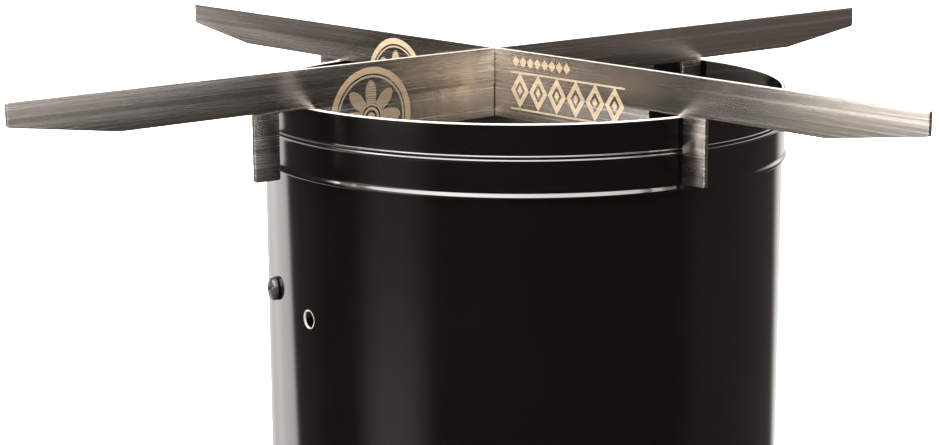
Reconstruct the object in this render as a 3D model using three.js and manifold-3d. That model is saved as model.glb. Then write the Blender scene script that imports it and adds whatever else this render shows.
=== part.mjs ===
// Propane burner stand: a steel wind-guard cylinder with a clamped-on top ring,
// a loose half-lapped pot cross, and a cast burner on a cross bar with its
// shutter, jet, needle valve and hose inlet at the back.
// Millimetres, +Z up, origin at the centre of the base, gas inlet towards +Y.
import * as THREE from 'three';
import { mergeVertices } from 'three/addons/utils/BufferGeometryUtils.js';
import Module from 'manifold-3d';

const wasm = await Module();
wasm.setup();

// ---------------------------------------------------------------- dimensions
const GAP = 0.3;                  // clearance kept between touching pieces
const SEG = 72;                   // facets round the cylinder

const SHELL_R = 116.6;            // outside radius of the cylinder
const SHELL_WALL = 0.9;
const SHELL_H = 330;              // rim height above the table
const SHELL_RI = SHELL_R - SHELL_WALL;

const RING_H = 31;                // top ring
const RING_WALL = 0.5;
const RING_RI = SHELL_R + GAP;
const RING_R = RING_RI + RING_WALL;
const BEAD_DROP = 14.6;           // bead centre below the rim
const BEAD_PROUD = 0.4;
const BEAD_HALF = 1.4;
const ROLL_H = 2.4;               // rolled lower edge of the ring
const ROLL_PROUD = 0.3;

const BLADE_T = 2;                // pot cross
const BLADE_L = 242;              // centre to tip
const BLADE_TIP_H = 9.65;
const BLADE_TAPER_R = 193.4;      // where the arm starts to taper
const BLADE_ARM_H = 16.4;
const TAB_RO = 130.5;
const TAB_RI = 118.0;
const TAB_DROP = 44.9;            // tab bottom below the top edge
const NOTCH_RI = 98.3;
const NOTCH_DROP = 16.85;         // top edge above the rim
const CENTRE_H = 30.55;           // depth of the middle plate
const CROSS_X = -11.8;            // the cross lies pushed over to one side
const CROSS_Y = -11.8;
const CROSS_Z = SHELL_H + GAP + NOTCH_DROP;

const BAR_AZ = 24.7;              // azimuth of the support bar and its screws
const SCREW_Z = 244.5;
const BAR_W = 25;
const BAR_T = 3;
const BAR_Z = 233;                // underside of the bar
const BAR_END = 114.8;            // outer face of the turned-up ends
const BAR_UP = 257;

const SIDE_HOLE_AZ = -138.3;      // plain hole low beside the screw
const SIDE_HOLE_Z = 238;
const SIDE_HOLE_R = 3.8;

const VENT_COUNT = 10;            // air slots round the foot
const VENT_W = 28;
const VENT_H = 9;
const VENT_Z = 36;

const BASE_T = 1.2;               // base pan
const BASE_R = SHELL_RI - 0.5;
const BASE_LIP = 14;
const RIVET_Z = 8;

const BURNER_Z0 = BAR_Z + BAR_T + GAP;
const BURNER_R = 52;
const BURNER_WALL = 5;
const BURNER_TOP = 265;
const CAP_R = 54;
const CAP_Z0 = BURNER_TOP + GAP;
const CAP_TOP = CAP_Z0 + 6;
const TUBE_Z = 251;
const TUBE_RO = 13;
const TUBE_RI = 10;
const BELL_R = 17;
const BELL_Y0 = 138;
const BELL_Y1 = 150;

const VALVE_Y0 = 168.3;
const VALVE_Y1 = 200;
const STEM_Y = 184;
const INLET_END = 228;

// ------------------------------------------------------------------ geometry
function weld(geometry) {
  const g = geometry.clone();
  for (const name of Object.keys(g.attributes)) if (name !== 'position') g.deleteAttribute(name);
  const merged = mergeVertices(g, 1e-4);
  const src = merged.index.array;
  const index = [];
  for (let i = 0; i < src.length; i += 3) {
    const [a, b, c] = [src[i], src[i + 1], src[i + 2]];
    if (a !== b && b !== c && c !== a) index.push(a, b, c);
  }
  const pos = merged.attributes.position.array;
  let volume = 0;
  for (let i = 0; i < index.length; i += 3) {
    const [a, b, c] = [index[i] * 3, index[i + 1] * 3, index[i + 2] * 3];
    volume += pos[a] * (pos[b + 1] * pos[c + 2] - pos[b + 2] * pos[c + 1])
      - pos[a + 1] * (pos[b] * pos[c + 2] - pos[b + 2] * pos[c])
      + pos[a + 2] * (pos[b] * pos[c + 1] - pos[b + 1] * pos[c]);
  }
  if (volume < 0) {
    for (let i = 0; i < index.length; i += 3) [index[i + 1], index[i + 2]] = [index[i + 2], index[i + 1]];
  }
  return { pos, index };
}

function solid(geometry) {
  const { pos, index } = weld(geometry);
  return new wasm.Manifold(new wasm.Mesh({
    numProp: 3,
    vertProperties: new Float32Array(pos),
    triVerts: new Uint32Array(index),
  }));
}

function geometryOf(manifold) {
  const mesh = manifold.getMesh();
  const g = new THREE.BufferGeometry();
  g.setAttribute('position', new THREE.BufferAttribute(new Float32Array(mesh.vertProperties), 3));
  g.setIndex(new THREE.BufferAttribute(new Uint32Array(mesh.triVerts), 1));
  g.computeVertexNormals();
  return g;
}

const union = (...parts) => parts.reduce((a, b) => a.add(b));
const cut = (body, ...tools) => tools.reduce((a, b) => a.subtract(b), body);

// profile is a closed outline of [radius, height] pairs, turned about +Z
function turned(profile, segments = 32) {
  const onAxis = profile[0][0] === 0 && profile[profile.length - 1][0] === 0;
  const pts = (onAxis ? profile : [...profile, profile[0]]).map(([r, z]) => new THREE.Vector2(r, z));
  const g = new THREE.LatheGeometry(pts, segments);
  g.rotateX(Math.PI / 2);
  return g;
}

function rod(radius, z0, z1, segments = 24) {
  const g = new THREE.CylinderGeometry(radius, radius, z1 - z0, segments);
  g.rotateX(Math.PI / 2);
  g.translate(0, 0, (z0 + z1) / 2);
  return g;
}

function block(x0, x1, y0, y1, z0, z1) {
  const g = new THREE.BoxGeometry(x1 - x0, y1 - y0, z1 - z0);
  g.translate((x0 + x1) / 2, (y0 + y1) / 2, (z0 + z1) / 2);
  return g;
}

function prism(shape, z0, z1, curveSegments = 12) {
  const g = new THREE.ExtrudeGeometry(shape, { depth: z1 - z0, bevelEnabled: false, curveSegments });
  g.translate(0, 0, z0);
  return g;
}

function hexShape(acrossFlats) {
  const r = acrossFlats / Math.sqrt(3);
  const s = new THREE.Shape();
  for (let i = 0; i < 6; i++) {
    const a = i * Math.PI / 3;
    if (i === 0) s.moveTo(r * Math.cos(a), r * Math.sin(a));
    else s.lineTo(r * Math.cos(a), r * Math.sin(a));
  }
  s.closePath();
  return s;
}

// a hexagon prism with its outer corners chamfered, as a turned nut has
function hexBody(acrossFlats, z0, z1, chamfer = 0.6) {
  const rc = acrossFlats / Math.sqrt(3);
  const envelope = turned([
    [0, z0], [acrossFlats / 2, z0], [rc + 0.02, z0 + chamfer],
    [rc + 0.02, z1 - chamfer], [acrossFlats / 2, z1], [0, z1],
  ], 24);
  return solid(prism(hexShape(acrossFlats), z0, z1)).intersect(solid(envelope));
}

// points is a list of [x, y, corner radius]
function roundedShape(points, steps = 3) {
  const out = [];
  const n = points.length;
  for (let i = 0; i < n; i++) {
    const p = new THREE.Vector2(points[i][0], points[i][1]);
    const r = points[i][2] || 0;
    if (!r) { out.push(p); continue; }
    const a = new THREE.Vector2(points[(i + n - 1) % n][0], points[(i + n - 1) % n][1]).sub(p).normalize();
    const b = new THREE.Vector2(points[(i + 1) % n][0], points[(i + 1) % n][1]).sub(p).normalize();
    const half = Math.acos(THREE.MathUtils.clamp(a.dot(b), -1, 1)) / 2;
    const back = r / Math.tan(half);
    const centre = a.clone().add(b).normalize().multiplyScalar(r / Math.sin(half)).add(p);
    const from = a.clone().multiplyScalar(back).add(p).sub(centre);
    const to = b.clone().multiplyScalar(back).add(p).sub(centre);
    let turn = to.angle() - from.angle();
    if (turn > Math.PI) turn -= 2 * Math.PI;
    if (turn < -Math.PI) turn += 2 * Math.PI;
    for (let k = 0; k <= steps; k++) {
      out.push(from.clone().rotateAround(new THREE.Vector2(0, 0), turn * k / steps).add(centre));
    }
  }
  return new THREE.Shape(out);
}

function slotShape(width, height) {
  const r = height / 2;
  const s = new THREE.Shape();
  s.moveTo(-width / 2 + r, -r);
  s.lineTo(width / 2 - r, -r);
  s.absarc(width / 2 - r, 0, r, -Math.PI / 2, Math.PI / 2, false);
  s.lineTo(-width / 2 + r, r);
  s.absarc(-width / 2 + r, 0, r, Math.PI / 2, Math.PI * 1.5, false);
  return s;
}

// an outline pushed out along the radius at an azimuth: x is sideways, y is up
function radialCutter(shape, azimuth, z, r0, r1) {
  const g = prism(shape, r0, r1, 4);
  g.applyMatrix4(new THREE.Matrix4().makeBasis(
    new THREE.Vector3(0, 1, 0), new THREE.Vector3(0, 0, 1), new THREE.Vector3(1, 0, 0)));
  g.translate(0, 0, z);
  g.rotateZ(THREE.MathUtils.degToRad(azimuth));
  return solid(g);
}

function circleShape(r, sides = 16) {
  const pts = [];
  for (let i = 0; i < sides; i++) {
    const a = 2 * Math.PI * (i + 0.5) / sides;
    pts.push(new THREE.Vector2(r * Math.cos(a), r * Math.sin(a)));
  }
  return new THREE.Shape(pts);
}

function kidneyShape(r0, r1, from, to, steps = 5) {
  const pts = [];
  for (let i = 0; i <= steps; i++) {
    const a = THREE.MathUtils.degToRad(from + (to - from) * i / steps);
    pts.push(new THREE.Vector2(r1 * Math.cos(a), r1 * Math.sin(a)));
  }
  for (let i = steps; i >= 0; i--) {
    const a = THREE.MathUtils.degToRad(from + (to - from) * i / steps);
    pts.push(new THREE.Vector2(r0 * Math.cos(a), r0 * Math.sin(a)));
  }
  return new THREE.Shape(pts);
}

// ----------------------------------------------------------------- materials
const finish = (colour, roughness, metalness) => new THREE.MeshStandardMaterial({ color: colour, roughness, metalness });
const blackEnamel = () => finish(0x1a1817, 0.32, 0.35);
const brushedSteel = () => finish(0x9a948c, 0.34, 1.0);
const blackScrew = () => finish(0x151413, 0.38, 0.6);
const castIron = () => finish(0x2b2a29, 0.75, 0.5);
const zinc = () => finish(0xa9abac, 0.4, 1.0);
const brass = () => finish(0xb48f46, 0.3, 1.0);
const darkPlastic = () => finish(0x1d1d1f, 0.5, 0.0);
const fibre = () => finish(0x7b4a35, 0.8, 0.0);

function piece(name, manifold, material) {
  const mesh = new THREE.Mesh(geometryOf(manifold), material);
  mesh.name = name;
  return mesh;
}

const stand = new THREE.Group();

// ------------------------------------------------------------------ cylinder
const ventTools = [];
for (let i = 0; i < VENT_COUNT; i++) {
  ventTools.push(radialCutter(slotShape(VENT_W, VENT_H), 18 + 36 * i, VENT_Z, 100, 130));
}
const rivetAngles = [0, 90, 180, 270];
const shell = cut(
  solid(turned([[SHELL_RI, 0], [SHELL_R, 0], [SHELL_R, SHELL_H], [SHELL_RI, SHELL_H]], SEG)),
  ...ventTools,
  radialCutter(circleShape(3.3, 14), BAR_AZ, SCREW_Z, 100, 130),
  radialCutter(circleShape(3.3, 14), BAR_AZ + 180, SCREW_Z, 100, 130),
  radialCutter(circleShape(SIDE_HOLE_R, 20), SIDE_HOLE_AZ, SIDE_HOLE_Z, 100, 130),
  radialCutter(roundedShape([[-18, -18, 4], [18, -18, 4], [18, 18, 4], [-18, 18, 4]], 3), 90, TUBE_Z, 100, 130),
  ...rivetAngles.map((a) => radialCutter(circleShape(2.3, 10), a, RIVET_Z, 100, 130)),
);
stand.add(piece('shell', shell, blackEnamel()));

const beadZ = SHELL_H - BEAD_DROP;
const ringZ0 = SHELL_H - RING_H;
const ringProfile = [[RING_RI, ringZ0], [RING_R, ringZ0], [RING_R + ROLL_PROUD, ringZ0 + 0.5],
  [RING_R + ROLL_PROUD, ringZ0 + ROLL_H - 0.6], [RING_R, ringZ0 + ROLL_H]];
for (let i = 0; i <= 4; i++) {
  const t = -1 + 2 * i / 4;
  ringProfile.push([RING_R + BEAD_PROUD * Math.sqrt(Math.max(0, 1 - t * t)), beadZ + BEAD_HALF * t]);
}
ringProfile.push([RING_R, SHELL_H], [RING_RI, SHELL_H]);
stand.add(piece('top_ring', solid(turned(ringProfile, SEG)), blackEnamel()));

const basePan = cut(
  solid(turned([
    [0, 0], [BASE_R - 1, 0], [BASE_R, 1], [BASE_R, BASE_LIP], [BASE_R - BASE_T, BASE_LIP],
    [BASE_R - BASE_T, BASE_T], [0, BASE_T],
  ], SEG)),
  ...rivetAngles.map((a) => radialCutter(circleShape(2.3, 10), a, RIVET_Z, 100, 130)),
);
stand.add(piece('base_pan', basePan, blackEnamel()));

// a blind rivet lies along +Z with its dome outwards, then points out of the wall
const rivetBody = turned([
  [0, -5.4], [3.0, -5.2], [3.0, -3.4], [2.0, -3.3], [2.0, 0],
  [4.0, 0], [3.7, 0.8], [2.0, 1.4], [0, 1.45],
], 12);
const rivetManifold = solid(rivetBody);
const rivetNames = ['base_rivet_right', 'base_rivet_back', 'base_rivet_left', 'base_rivet_front'];
rivetAngles.forEach((a, i) => {
  const holder = new THREE.Group();
  holder.rotation.z = THREE.MathUtils.degToRad(a);
  const rivet = piece(rivetNames[i], rivetManifold, blackScrew());
  rivet.position.set(SHELL_R + GAP, 0, RIVET_Z);
  rivet.rotation.y = Math.PI / 2;
  holder.add(rivet);
  stand.add(holder);
});

// ----------------------------------------------------------------- pot cross
function bladeOutline() {
  const half = [
    [BLADE_L, 0, 0.6], [BLADE_L, -BLADE_TIP_H, 0.9], [BLADE_TAPER_R, -BLADE_ARM_H, 0],
    [TAB_RO, -BLADE_ARM_H, 0.5], [TAB_RO, -TAB_DROP, 0.8], [TAB_RI, -TAB_DROP, 0.8],
    [TAB_RI, -NOTCH_DROP, 0.5], [NOTCH_RI, -NOTCH_DROP, 0.5], [NOTCH_RI, -CENTRE_H, 0.8],
  ];
  const other = half.map(([x, y, r]) => [-x, y, r]).reverse();
  return [...half, ...other];
}
function blade(slotFrom, slotTo, slotWidth) {
  const g = prism(roundedShape(bladeOutline()), -BLADE_T / 2, BLADE_T / 2);
  g.rotateX(Math.PI / 2);
  return cut(solid(g), solid(block(-slotWidth / 2, slotWidth / 2, -5, 5, slotFrom, slotTo)));
}
const lapZ = -CENTRE_H / 2;
const cross = new THREE.Group();
cross.position.set(CROSS_X, CROSS_Y, CROSS_Z);
const bladeA = piece('cross_blade_a', blade(-60, lapZ + 0.15, BLADE_T + 0.8), brushedSteel());
bladeA.rotation.z = THREE.MathUtils.degToRad(45);
const bladeB = piece('cross_blade_b', blade(lapZ - 0.15, 20, BLADE_T + 0.5), brushedSteel());
bladeB.rotation.z = THREE.MathUtils.degToRad(-45);
cross.add(bladeA, bladeB);
stand.add(cross);

// --------------------------------------------------------------- support bar
const barGroup = new THREE.Group();
barGroup.rotation.z = THREE.MathUtils.degToRad(BAR_AZ);
const barSide = roundedShape([
  [-BAR_END, BAR_Z, 3.2], [BAR_END, BAR_Z, 3.2], [BAR_END, BAR_UP, 0], [BAR_END - BAR_T, BAR_UP, 0],
  [BAR_END - BAR_T, BAR_Z + BAR_T, 1], [-BAR_END + BAR_T, BAR_Z + BAR_T, 1], [-BAR_END + BAR_T, BAR_UP, 0],
  [-BAR_END, BAR_UP, 0],
], 4);
const barGeometry = prism(barSide, -BAR_W / 2, BAR_W / 2);
barGeometry.rotateX(Math.PI / 2);
const acrossX = (r, x0, x1, z, sides = 20) => {
  const g = prism(circleShape(r, sides), x0, x1);
  g.applyMatrix4(new THREE.Matrix4().makeBasis(
    new THREE.Vector3(0, 1, 0), new THREE.Vector3(0, 0, 1), new THREE.Vector3(1, 0, 0)));
  g.translate(0, 0, z);
  return solid(g);
};
const bar = cut(solid(barGeometry),
  acrossX(3.3, -120, -100, SCREW_Z), acrossX(3.3, 100, 120, SCREW_Z),
  solid(rod(3.4, 225, 240, 20)));
barGroup.add(piece('burner_support_bar', bar, zinc()));

// M6 pan-head screw along +Z, head outwards, with a cross recess
function panScrew(shankR, length, headR, headH, recess) {
  const body = solid(turned([
    [0, -length], [shankR - 0.5, -length], [shankR, -length + 0.6], [shankR, 0],
    [headR, 0.1], [headR, headH * 0.38], [headR * 0.84, headH * 0.78],
    [headR * 0.45, headH], [0, headH],
  ], 18));
  const w = recess;
  const arm = roundedShape([[-w, -w * 0.24, 0], [w, -w * 0.24, 0], [w, w * 0.24, 0], [-w, w * 0.24, 0]], 1);
  const a = solid(prism(arm, headH * 0.38, headH + 2));
  const bGeo = prism(arm, headH * 0.38, headH + 2);
  bGeo.rotateZ(Math.PI / 2);
  return cut(body, a, solid(bGeo));
}
const screwManifold = panScrew(2.9, 17, 5.3, 3.4, 2.9);
const nutManifold = cut(hexBody(10, 0, 5), solid(rod(3.2, -1, 6, 16)));
for (const side of [1, -1]) {
  const holder = new THREE.Group();
  if (side < 0) holder.rotation.z = Math.PI;
  const screw = piece(side > 0 ? 'support_screw_right' : 'support_screw_left', screwManifold, blackScrew());
  screw.position.set(SHELL_R + GAP, 0, SCREW_Z);
  screw.rotation.y = Math.PI / 2;
  const nut = piece(side > 0 ? 'support_nut_right' : 'support_nut_left', nutManifold, zinc());
  nut.position.set(BAR_END - BAR_T - GAP, 0, SCREW_Z);
  nut.rotation.y = -Math.PI / 2;
  holder.add(screw, nut);
  barGroup.add(holder);
}
stand.add(barGroup);

// -------------------------------------------------------------------- burner
const alongY = (geometry) => {
  geometry.applyMatrix4(new THREE.Matrix4().makeBasis(
    new THREE.Vector3(1, 0, 0), new THREE.Vector3(0, 0, -1), new THREE.Vector3(0, 1, 0)));
  geometry.translate(0, 0, TUBE_Z);
  return geometry;
};
const bowlOuter = turned([
  [0, BURNER_Z0], [20, BURNER_Z0], [22, BURNER_Z0 + 1], [BURNER_R - 6, BURNER_Z0 + 2.5],
  [BURNER_R, BURNER_Z0 + 8], [BURNER_R, BURNER_TOP], [0, BURNER_TOP],
], 48);
const bowlInner = turned([
  [8.5, BURNER_Z0 + 6], [BURNER_R - BURNER_WALL - 4, BURNER_Z0 + 6], [BURNER_R - BURNER_WALL, BURNER_Z0 + 10],
  [BURNER_R - BURNER_WALL, BURNER_TOP + 5], [8.5, BURNER_TOP + 5],
], 48);
const tubeOuter = alongY(turned([
  [0, 30], [TUBE_RO, 30], [TUBE_RO, BELL_Y0 - 8], [BELL_R, BELL_Y0], [BELL_R, BELL_Y1], [0, BELL_Y1],
], 28));
const tubeBore = alongY(turned([
  [0, 38], [TUBE_RI, 38], [TUBE_RI, BELL_Y0 - 8], [BELL_R - 2.5, BELL_Y0], [BELL_R - 2.5, BELL_Y1 - 3], [0, BELL_Y1 - 3],
], 28));
const kidneys = () => [0, 120, 240].map((a) => solid(alongY(prism(kidneyShape(7.6, 14, a + 60, a + 120), BELL_Y1 - 6, BELL_Y1 + 6))));
const burnerBody = cut(
  union(solid(bowlOuter), solid(tubeOuter)),
  solid(bowlInner), solid(tubeBore), ...kidneys(),
  solid(alongY(rod(4.3, BELL_Y1 - 6, BELL_Y1 + 6, 20))),
  solid(rod(3.4, 230, 270, 20)),
);
stand.add(piece('burner_body', burnerBody, castIron()));

const portTools = [];
for (let i = 0; i < 20; i++) {
  const a = 2 * Math.PI * i / 20;
  const g = rod(1.5, CAP_Z0 - 5, CAP_TOP + 5, 6);
  g.translate(40 * Math.cos(a), 40 * Math.sin(a), 0);
  portTools.push(solid(g));
}
for (let i = 0; i < 12; i++) {
  const a = 2 * Math.PI * (i + 0.5) / 12;
  const g = rod(1.5, CAP_Z0 - 5, CAP_TOP + 5, 6);
  g.translate(25 * Math.cos(a), 25 * Math.sin(a), 0);
  portTools.push(solid(g));
}
const cap = cut(solid(turned([
  [0, CAP_Z0], [CAP_R - 1, CAP_Z0], [CAP_R, CAP_Z0 + 1], [CAP_R, CAP_Z0 + 2.6], [CAP_R - 5, CAP_TOP - 1],
  [14, CAP_TOP - 1], [12, CAP_TOP], [0, CAP_TOP],
], 48)), solid(rod(3.4, CAP_Z0 - 5, CAP_TOP + 5, 20)), ...portTools);
stand.add(piece('burner_cap', cap, castIron()));

const boltLength = CAP_TOP + GAP - 222;
const bolt = piece('burner_bolt', panScrew(2.9, boltLength, 6, 4, 3.2), zinc());
bolt.position.set(0, 0, CAP_TOP + GAP);
stand.add(bolt);
const washer = piece('burner_washer', cut(solid(turned([
  [0, 0], [9, 0], [9, 1.4], [0, 1.4]], 24)), solid(rod(3.3, -1, 3, 16))), zinc());
washer.position.set(0, 0, BAR_Z - GAP - 1.4);
stand.add(washer);
const burnerNut = piece('burner_nut', nutManifold, zinc());
burnerNut.position.set(0, 0, BAR_Z - 2 * GAP - 1.4 - 5);
stand.add(burnerNut);

// --------------------------------------------- air shutter, jet, valve, inlet
// this group's +Z runs out of the back of the burner, along the mixer tube
const gas = new THREE.Group();
gas.position.set(0, 0, TUBE_Z);
gas.rotation.x = -Math.PI / 2;

const shutterDisc = (() => {
  const tab = solid(block(-3.5, 3.5, -22.5, -15, 0, 1.2));
  const lip = solid(block(-3.5, 3.5, -22.5, -21.3, 0, 7));
  return cut(union(solid(rod(BELL_R, 0, 1.2, 28)), tab, lip),
    ...[0, 120, 240].map((a) => solid(prism(kidneyShape(7.6, 14, a + 240, a + 300), -3, 5))),
    solid(rod(4.4, -3, 5, 20)));
})();
const shutter = piece('air_shutter', shutterDisc, zinc());
shutter.position.set(0, 0, BELL_Y1 + GAP);
gas.add(shutter);

class Coil extends THREE.Curve {
  constructor(radius, height, turns) { super(); this.radius = radius; this.height = height; this.turns = turns; }
  getPoint(t, target = new THREE.Vector3()) {
    const a = 2 * Math.PI * this.turns * t;
    return target.set(this.radius * Math.cos(a), this.radius * Math.sin(a), this.height * t);
  }
}
const springZ0 = BELL_Y1 + GAP + 1.2 + 0.9;
const springPath = new Coil(5.6, 4.6, 3);
const springGeometry = new THREE.ExtrudeGeometry(circleShape(0.5, 6), { steps: 42, extrudePath: springPath, bevelEnabled: false });
const spring = piece('shutter_spring', solid(springGeometry), zinc());
spring.position.set(0, 0, springZ0);
gas.add(spring);

const orificeBase = springZ0 + 4.6 + 0.9;
const orifice = cut(
  union(
    solid(turned([[0, -18.5], [1.8, -18.5], [4.0, -15.5], [4.0, 0.5], [0, 0.5]], 20)),
    hexBody(14, 0, VALVE_Y0 - GAP - orificeBase)),
  solid(rod(2.5, -12, 20, 16)), solid(rod(0.7, -25, 0, 10)));
const jet = piece('gas_orifice', orifice, brass());
jet.position.set(0, 0, orificeBase);
gas.add(jet);

const sideways = (geometry, z) => {
  geometry.applyMatrix4(new THREE.Matrix4().makeBasis(
    new THREE.Vector3(0, 1, 0), new THREE.Vector3(0, 0, 1), new THREE.Vector3(1, 0, 0)));
  geometry.translate(0, 0, z);
  return solid(geometry);
};
const valveBody = cut(
  union(
    hexBody(18, VALVE_Y0, VALVE_Y0 + 8, 0.8),
    solid(turned([[0, VALVE_Y0 + 7.5], [9, VALVE_Y0 + 7.5], [9, VALVE_Y1 - 1], [8.2, VALVE_Y1], [0, VALVE_Y1]], 24)),
    sideways(turned([[0, -10.5], [6, -10.5], [6.6, -9.9], [6.6, 0], [7, 0], [7, 19.4], [6.4, 20], [0, 20]], 20), STEM_Y)),
  solid(rod(3.2, VALVE_Y0 - 5, VALVE_Y1 + 5, 14)),
  sideways(rod(2.9, 0, 25, 14), STEM_Y),
  sideways(rod(5, 14.5, 25, 16), STEM_Y));
gas.add(piece('valve_body', valveBody, brass()));

const packing = piece('stem_packing', cut(solid(turned([
  [0, 0], [4.4, 0], [4.7, 0.5], [4.7, 4], [4.4, 4.5], [0, 4.5]], 16)), solid(rod(2.6, -1, 6, 14))), fibre());
packing.position.set(14.9, 0, STEM_Y);
packing.rotation.y = Math.PI / 2;
gas.add(packing);

const packingNut = piece('packing_nut', cut(hexBody(14, 0, 6.5), solid(rod(2.9, -1, 8, 14))), brass());
packingNut.position.set(20 + GAP, 0, STEM_Y);
packingNut.rotation.y = Math.PI / 2;
gas.add(packingNut);

const stem = piece('valve_stem', cut(solid(turned([
  [0, -3], [0.5, -3], [2.2, 1.5], [2.2, 37.6], [1.9, 38], [0, 38]], 14)), solid(rod(1.5, 31, 40, 10))), brass());
stem.position.set(0, 0, STEM_Y);
stem.rotation.y = Math.PI / 2;
gas.add(stem);

const knobShape = (() => {
  const pts = [];
  const lobes = 10;
  for (let i = 0; i < lobes * 4; i++) {
    const a = 2 * Math.PI * i / (lobes * 4);
    const r = 13 - 1.1 * Math.pow(Math.max(0, Math.cos(lobes * a)), 2);
    pts.push(new THREE.Vector2(r * Math.cos(a), r * Math.sin(a)));
  }
  return new THREE.Shape(pts);
})();
const knobEnvelope = turned([[0, 0], [11.4, 0], [13.2, 1.6], [13.2, 12.6], [11.2, 15], [5, 15.4], [0, 15.4]], 24);
const knobBody = cut(
  solid(prism(knobShape, 0, 15.4)).intersect(solid(knobEnvelope)),
  solid(rod(2.5, -1, 10.3, 16)), solid(rod(1.7, 5, 20, 12)), solid(rod(3.6, 13.2, 20, 16)));
const knob = piece('valve_knob', knobBody, darkPlastic());
knob.position.set(28, 0, STEM_Y);
knob.rotation.y = Math.PI / 2;
gas.add(knob);

const knobScrew = piece('knob_screw', panScrew(1.2, 8, 2.9, 1.9, 1.5), zinc());
knobScrew.position.set(28 + 13.2 + GAP, 0, STEM_Y);
knobScrew.rotation.y = Math.PI / 2;
gas.add(knobScrew);

const seal = piece('inlet_seal', cut(solid(turned([
  [0, 0], [8, 0], [8, 1.4], [0, 1.4]], 24)), solid(rod(3.6, -1, 3, 16))), fibre());
seal.position.set(0, 0, VALVE_Y1 + GAP);
gas.add(seal);

const inletZ0 = VALVE_Y1 + 2 * GAP + 1.4;
const inletProfile = [[0, inletZ0 + 7.5], [8.2, inletZ0 + 7.5], [8.2, inletZ0 + 9.4]];
for (let z = inletZ0 + 9.4; z < INLET_END - 3; z += 1.8) {
  inletProfile.push([8.6, z + 0.7], [7.9, z + 1.5]);
}
inletProfile.push([7.9, INLET_END - 1], [7.1, INLET_END], [0, INLET_END]);
const inlet = piece('hose_inlet', cut(
  union(hexBody(19, inletZ0, inletZ0 + 8, 0.8), solid(turned(inletProfile, 20))),
  solid(rod(3.4, inletZ0 - 3, INLET_END + 3, 20))), brass());
gas.add(inlet);

stand.add(gas);

export default stand;
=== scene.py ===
# Looks of the propane burner stand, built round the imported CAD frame. Metres.
import math
import bpy
import bmesh
import numpy as np
from mathutils import Matrix, Vector


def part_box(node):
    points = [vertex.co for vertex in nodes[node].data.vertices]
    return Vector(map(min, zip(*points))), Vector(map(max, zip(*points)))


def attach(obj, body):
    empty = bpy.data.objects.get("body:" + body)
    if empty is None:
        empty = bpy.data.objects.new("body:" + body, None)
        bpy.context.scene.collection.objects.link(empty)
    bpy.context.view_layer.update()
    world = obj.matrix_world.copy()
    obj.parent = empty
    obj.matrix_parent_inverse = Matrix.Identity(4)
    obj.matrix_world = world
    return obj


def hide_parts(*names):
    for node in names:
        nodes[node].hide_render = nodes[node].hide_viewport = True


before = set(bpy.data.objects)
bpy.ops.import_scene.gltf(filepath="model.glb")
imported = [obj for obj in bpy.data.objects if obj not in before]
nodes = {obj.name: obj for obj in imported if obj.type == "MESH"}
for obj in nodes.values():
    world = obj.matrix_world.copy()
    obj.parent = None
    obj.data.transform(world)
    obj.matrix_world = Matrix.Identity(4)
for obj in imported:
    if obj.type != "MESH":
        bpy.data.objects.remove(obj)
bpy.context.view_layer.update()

MM = 0.001


def mid(name):
    lo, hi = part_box(name)
    return (Vector(lo) + Vector(hi)) / 2


# ------------------------------------------------------------- frame dimensions
lo_s, hi_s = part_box("shell")
SHELL_R = (hi_s[0] - lo_s[0]) / 2 / MM
SHELL_H = hi_s[2] / MM
SHELL_RI = SHELL_R - 0.9
lo_r, hi_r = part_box("top_ring")
RING_Z0 = lo_r[2] / MM
RING_RI = SHELL_R + 0.3
RING_R = RING_RI + 0.5
lo_a, hi_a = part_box("cross_blade_a")
CROSS = Vector(((lo_a[0] + hi_a[0]) / 2, (lo_a[1] + hi_a[1]) / 2, hi_a[2]))
BAR_AZ = 24.7
SCREW_Z = mid("support_screw_left").z / MM
TUBE_Z = mid("inlet_seal").z / MM
SIDE_HOLE = (-138.3, 238.0, 3.8)


# ---------------------------------------------------------------- mesh helpers
def rounded(points, steps=6):
    """An outline [x, y, corner radius] with its corners turned into arcs."""
    out, n = [], len(points)
    for i, p in enumerate(points):
        r = p[2] if len(p) > 2 else 0
        c = Vector(p[:2])
        if not r:
            out.append((c.x, c.y))
            continue
        a = (Vector(points[i - 1][:2]) - c).normalized()
        b = (Vector(points[(i + 1) % n][:2]) - c).normalized()
        half = math.acos(max(-1, min(1, a.dot(b)))) / 2
        centre = c + (a + b).normalized() * (r / math.sin(half))
        back = r / math.tan(half)
        f, t = c + a * back - centre, c + b * back - centre
        a0, a1 = math.atan2(f.y, f.x), math.atan2(t.y, t.x)
        d = (a1 - a0 + math.pi) % (2 * math.pi) - math.pi
        for k in range(steps + 1):
            w = a0 + d * k / steps
            out.append((centre.x + r * math.cos(w), centre.y + r * math.sin(w)))
    return out


def lathe(profile, segs=96):
    """profile [radius, height] in mm, bottom outwards, up and back in; closed unless both ends are on the axis."""
    on_axis = profile[0][0] == 0 and profile[-1][0] == 0
    verts, rows, faces = [], [], []
    for r, z in profile:
        if r == 0:
            rows.append([len(verts)] * segs)
            verts.append((0, 0, z))
        else:
            rows.append(list(range(len(verts), len(verts) + segs)))
            verts += [(r * math.cos(2 * math.pi * k / segs), r * math.sin(2 * math.pi * k / segs), z) for k in range(segs)]
    n = len(profile)
    for i in range(n - 1 if on_axis else n):
        j = (i + 1) % n
        for k in range(segs):
            q = []
            for v in (rows[i][k], rows[i][(k + 1) % segs], rows[j][(k + 1) % segs], rows[j][k]):
                if v not in q:
                    q.append(v)
            if len(q) > 2:
                faces.append(q)
    return verts, faces


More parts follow.
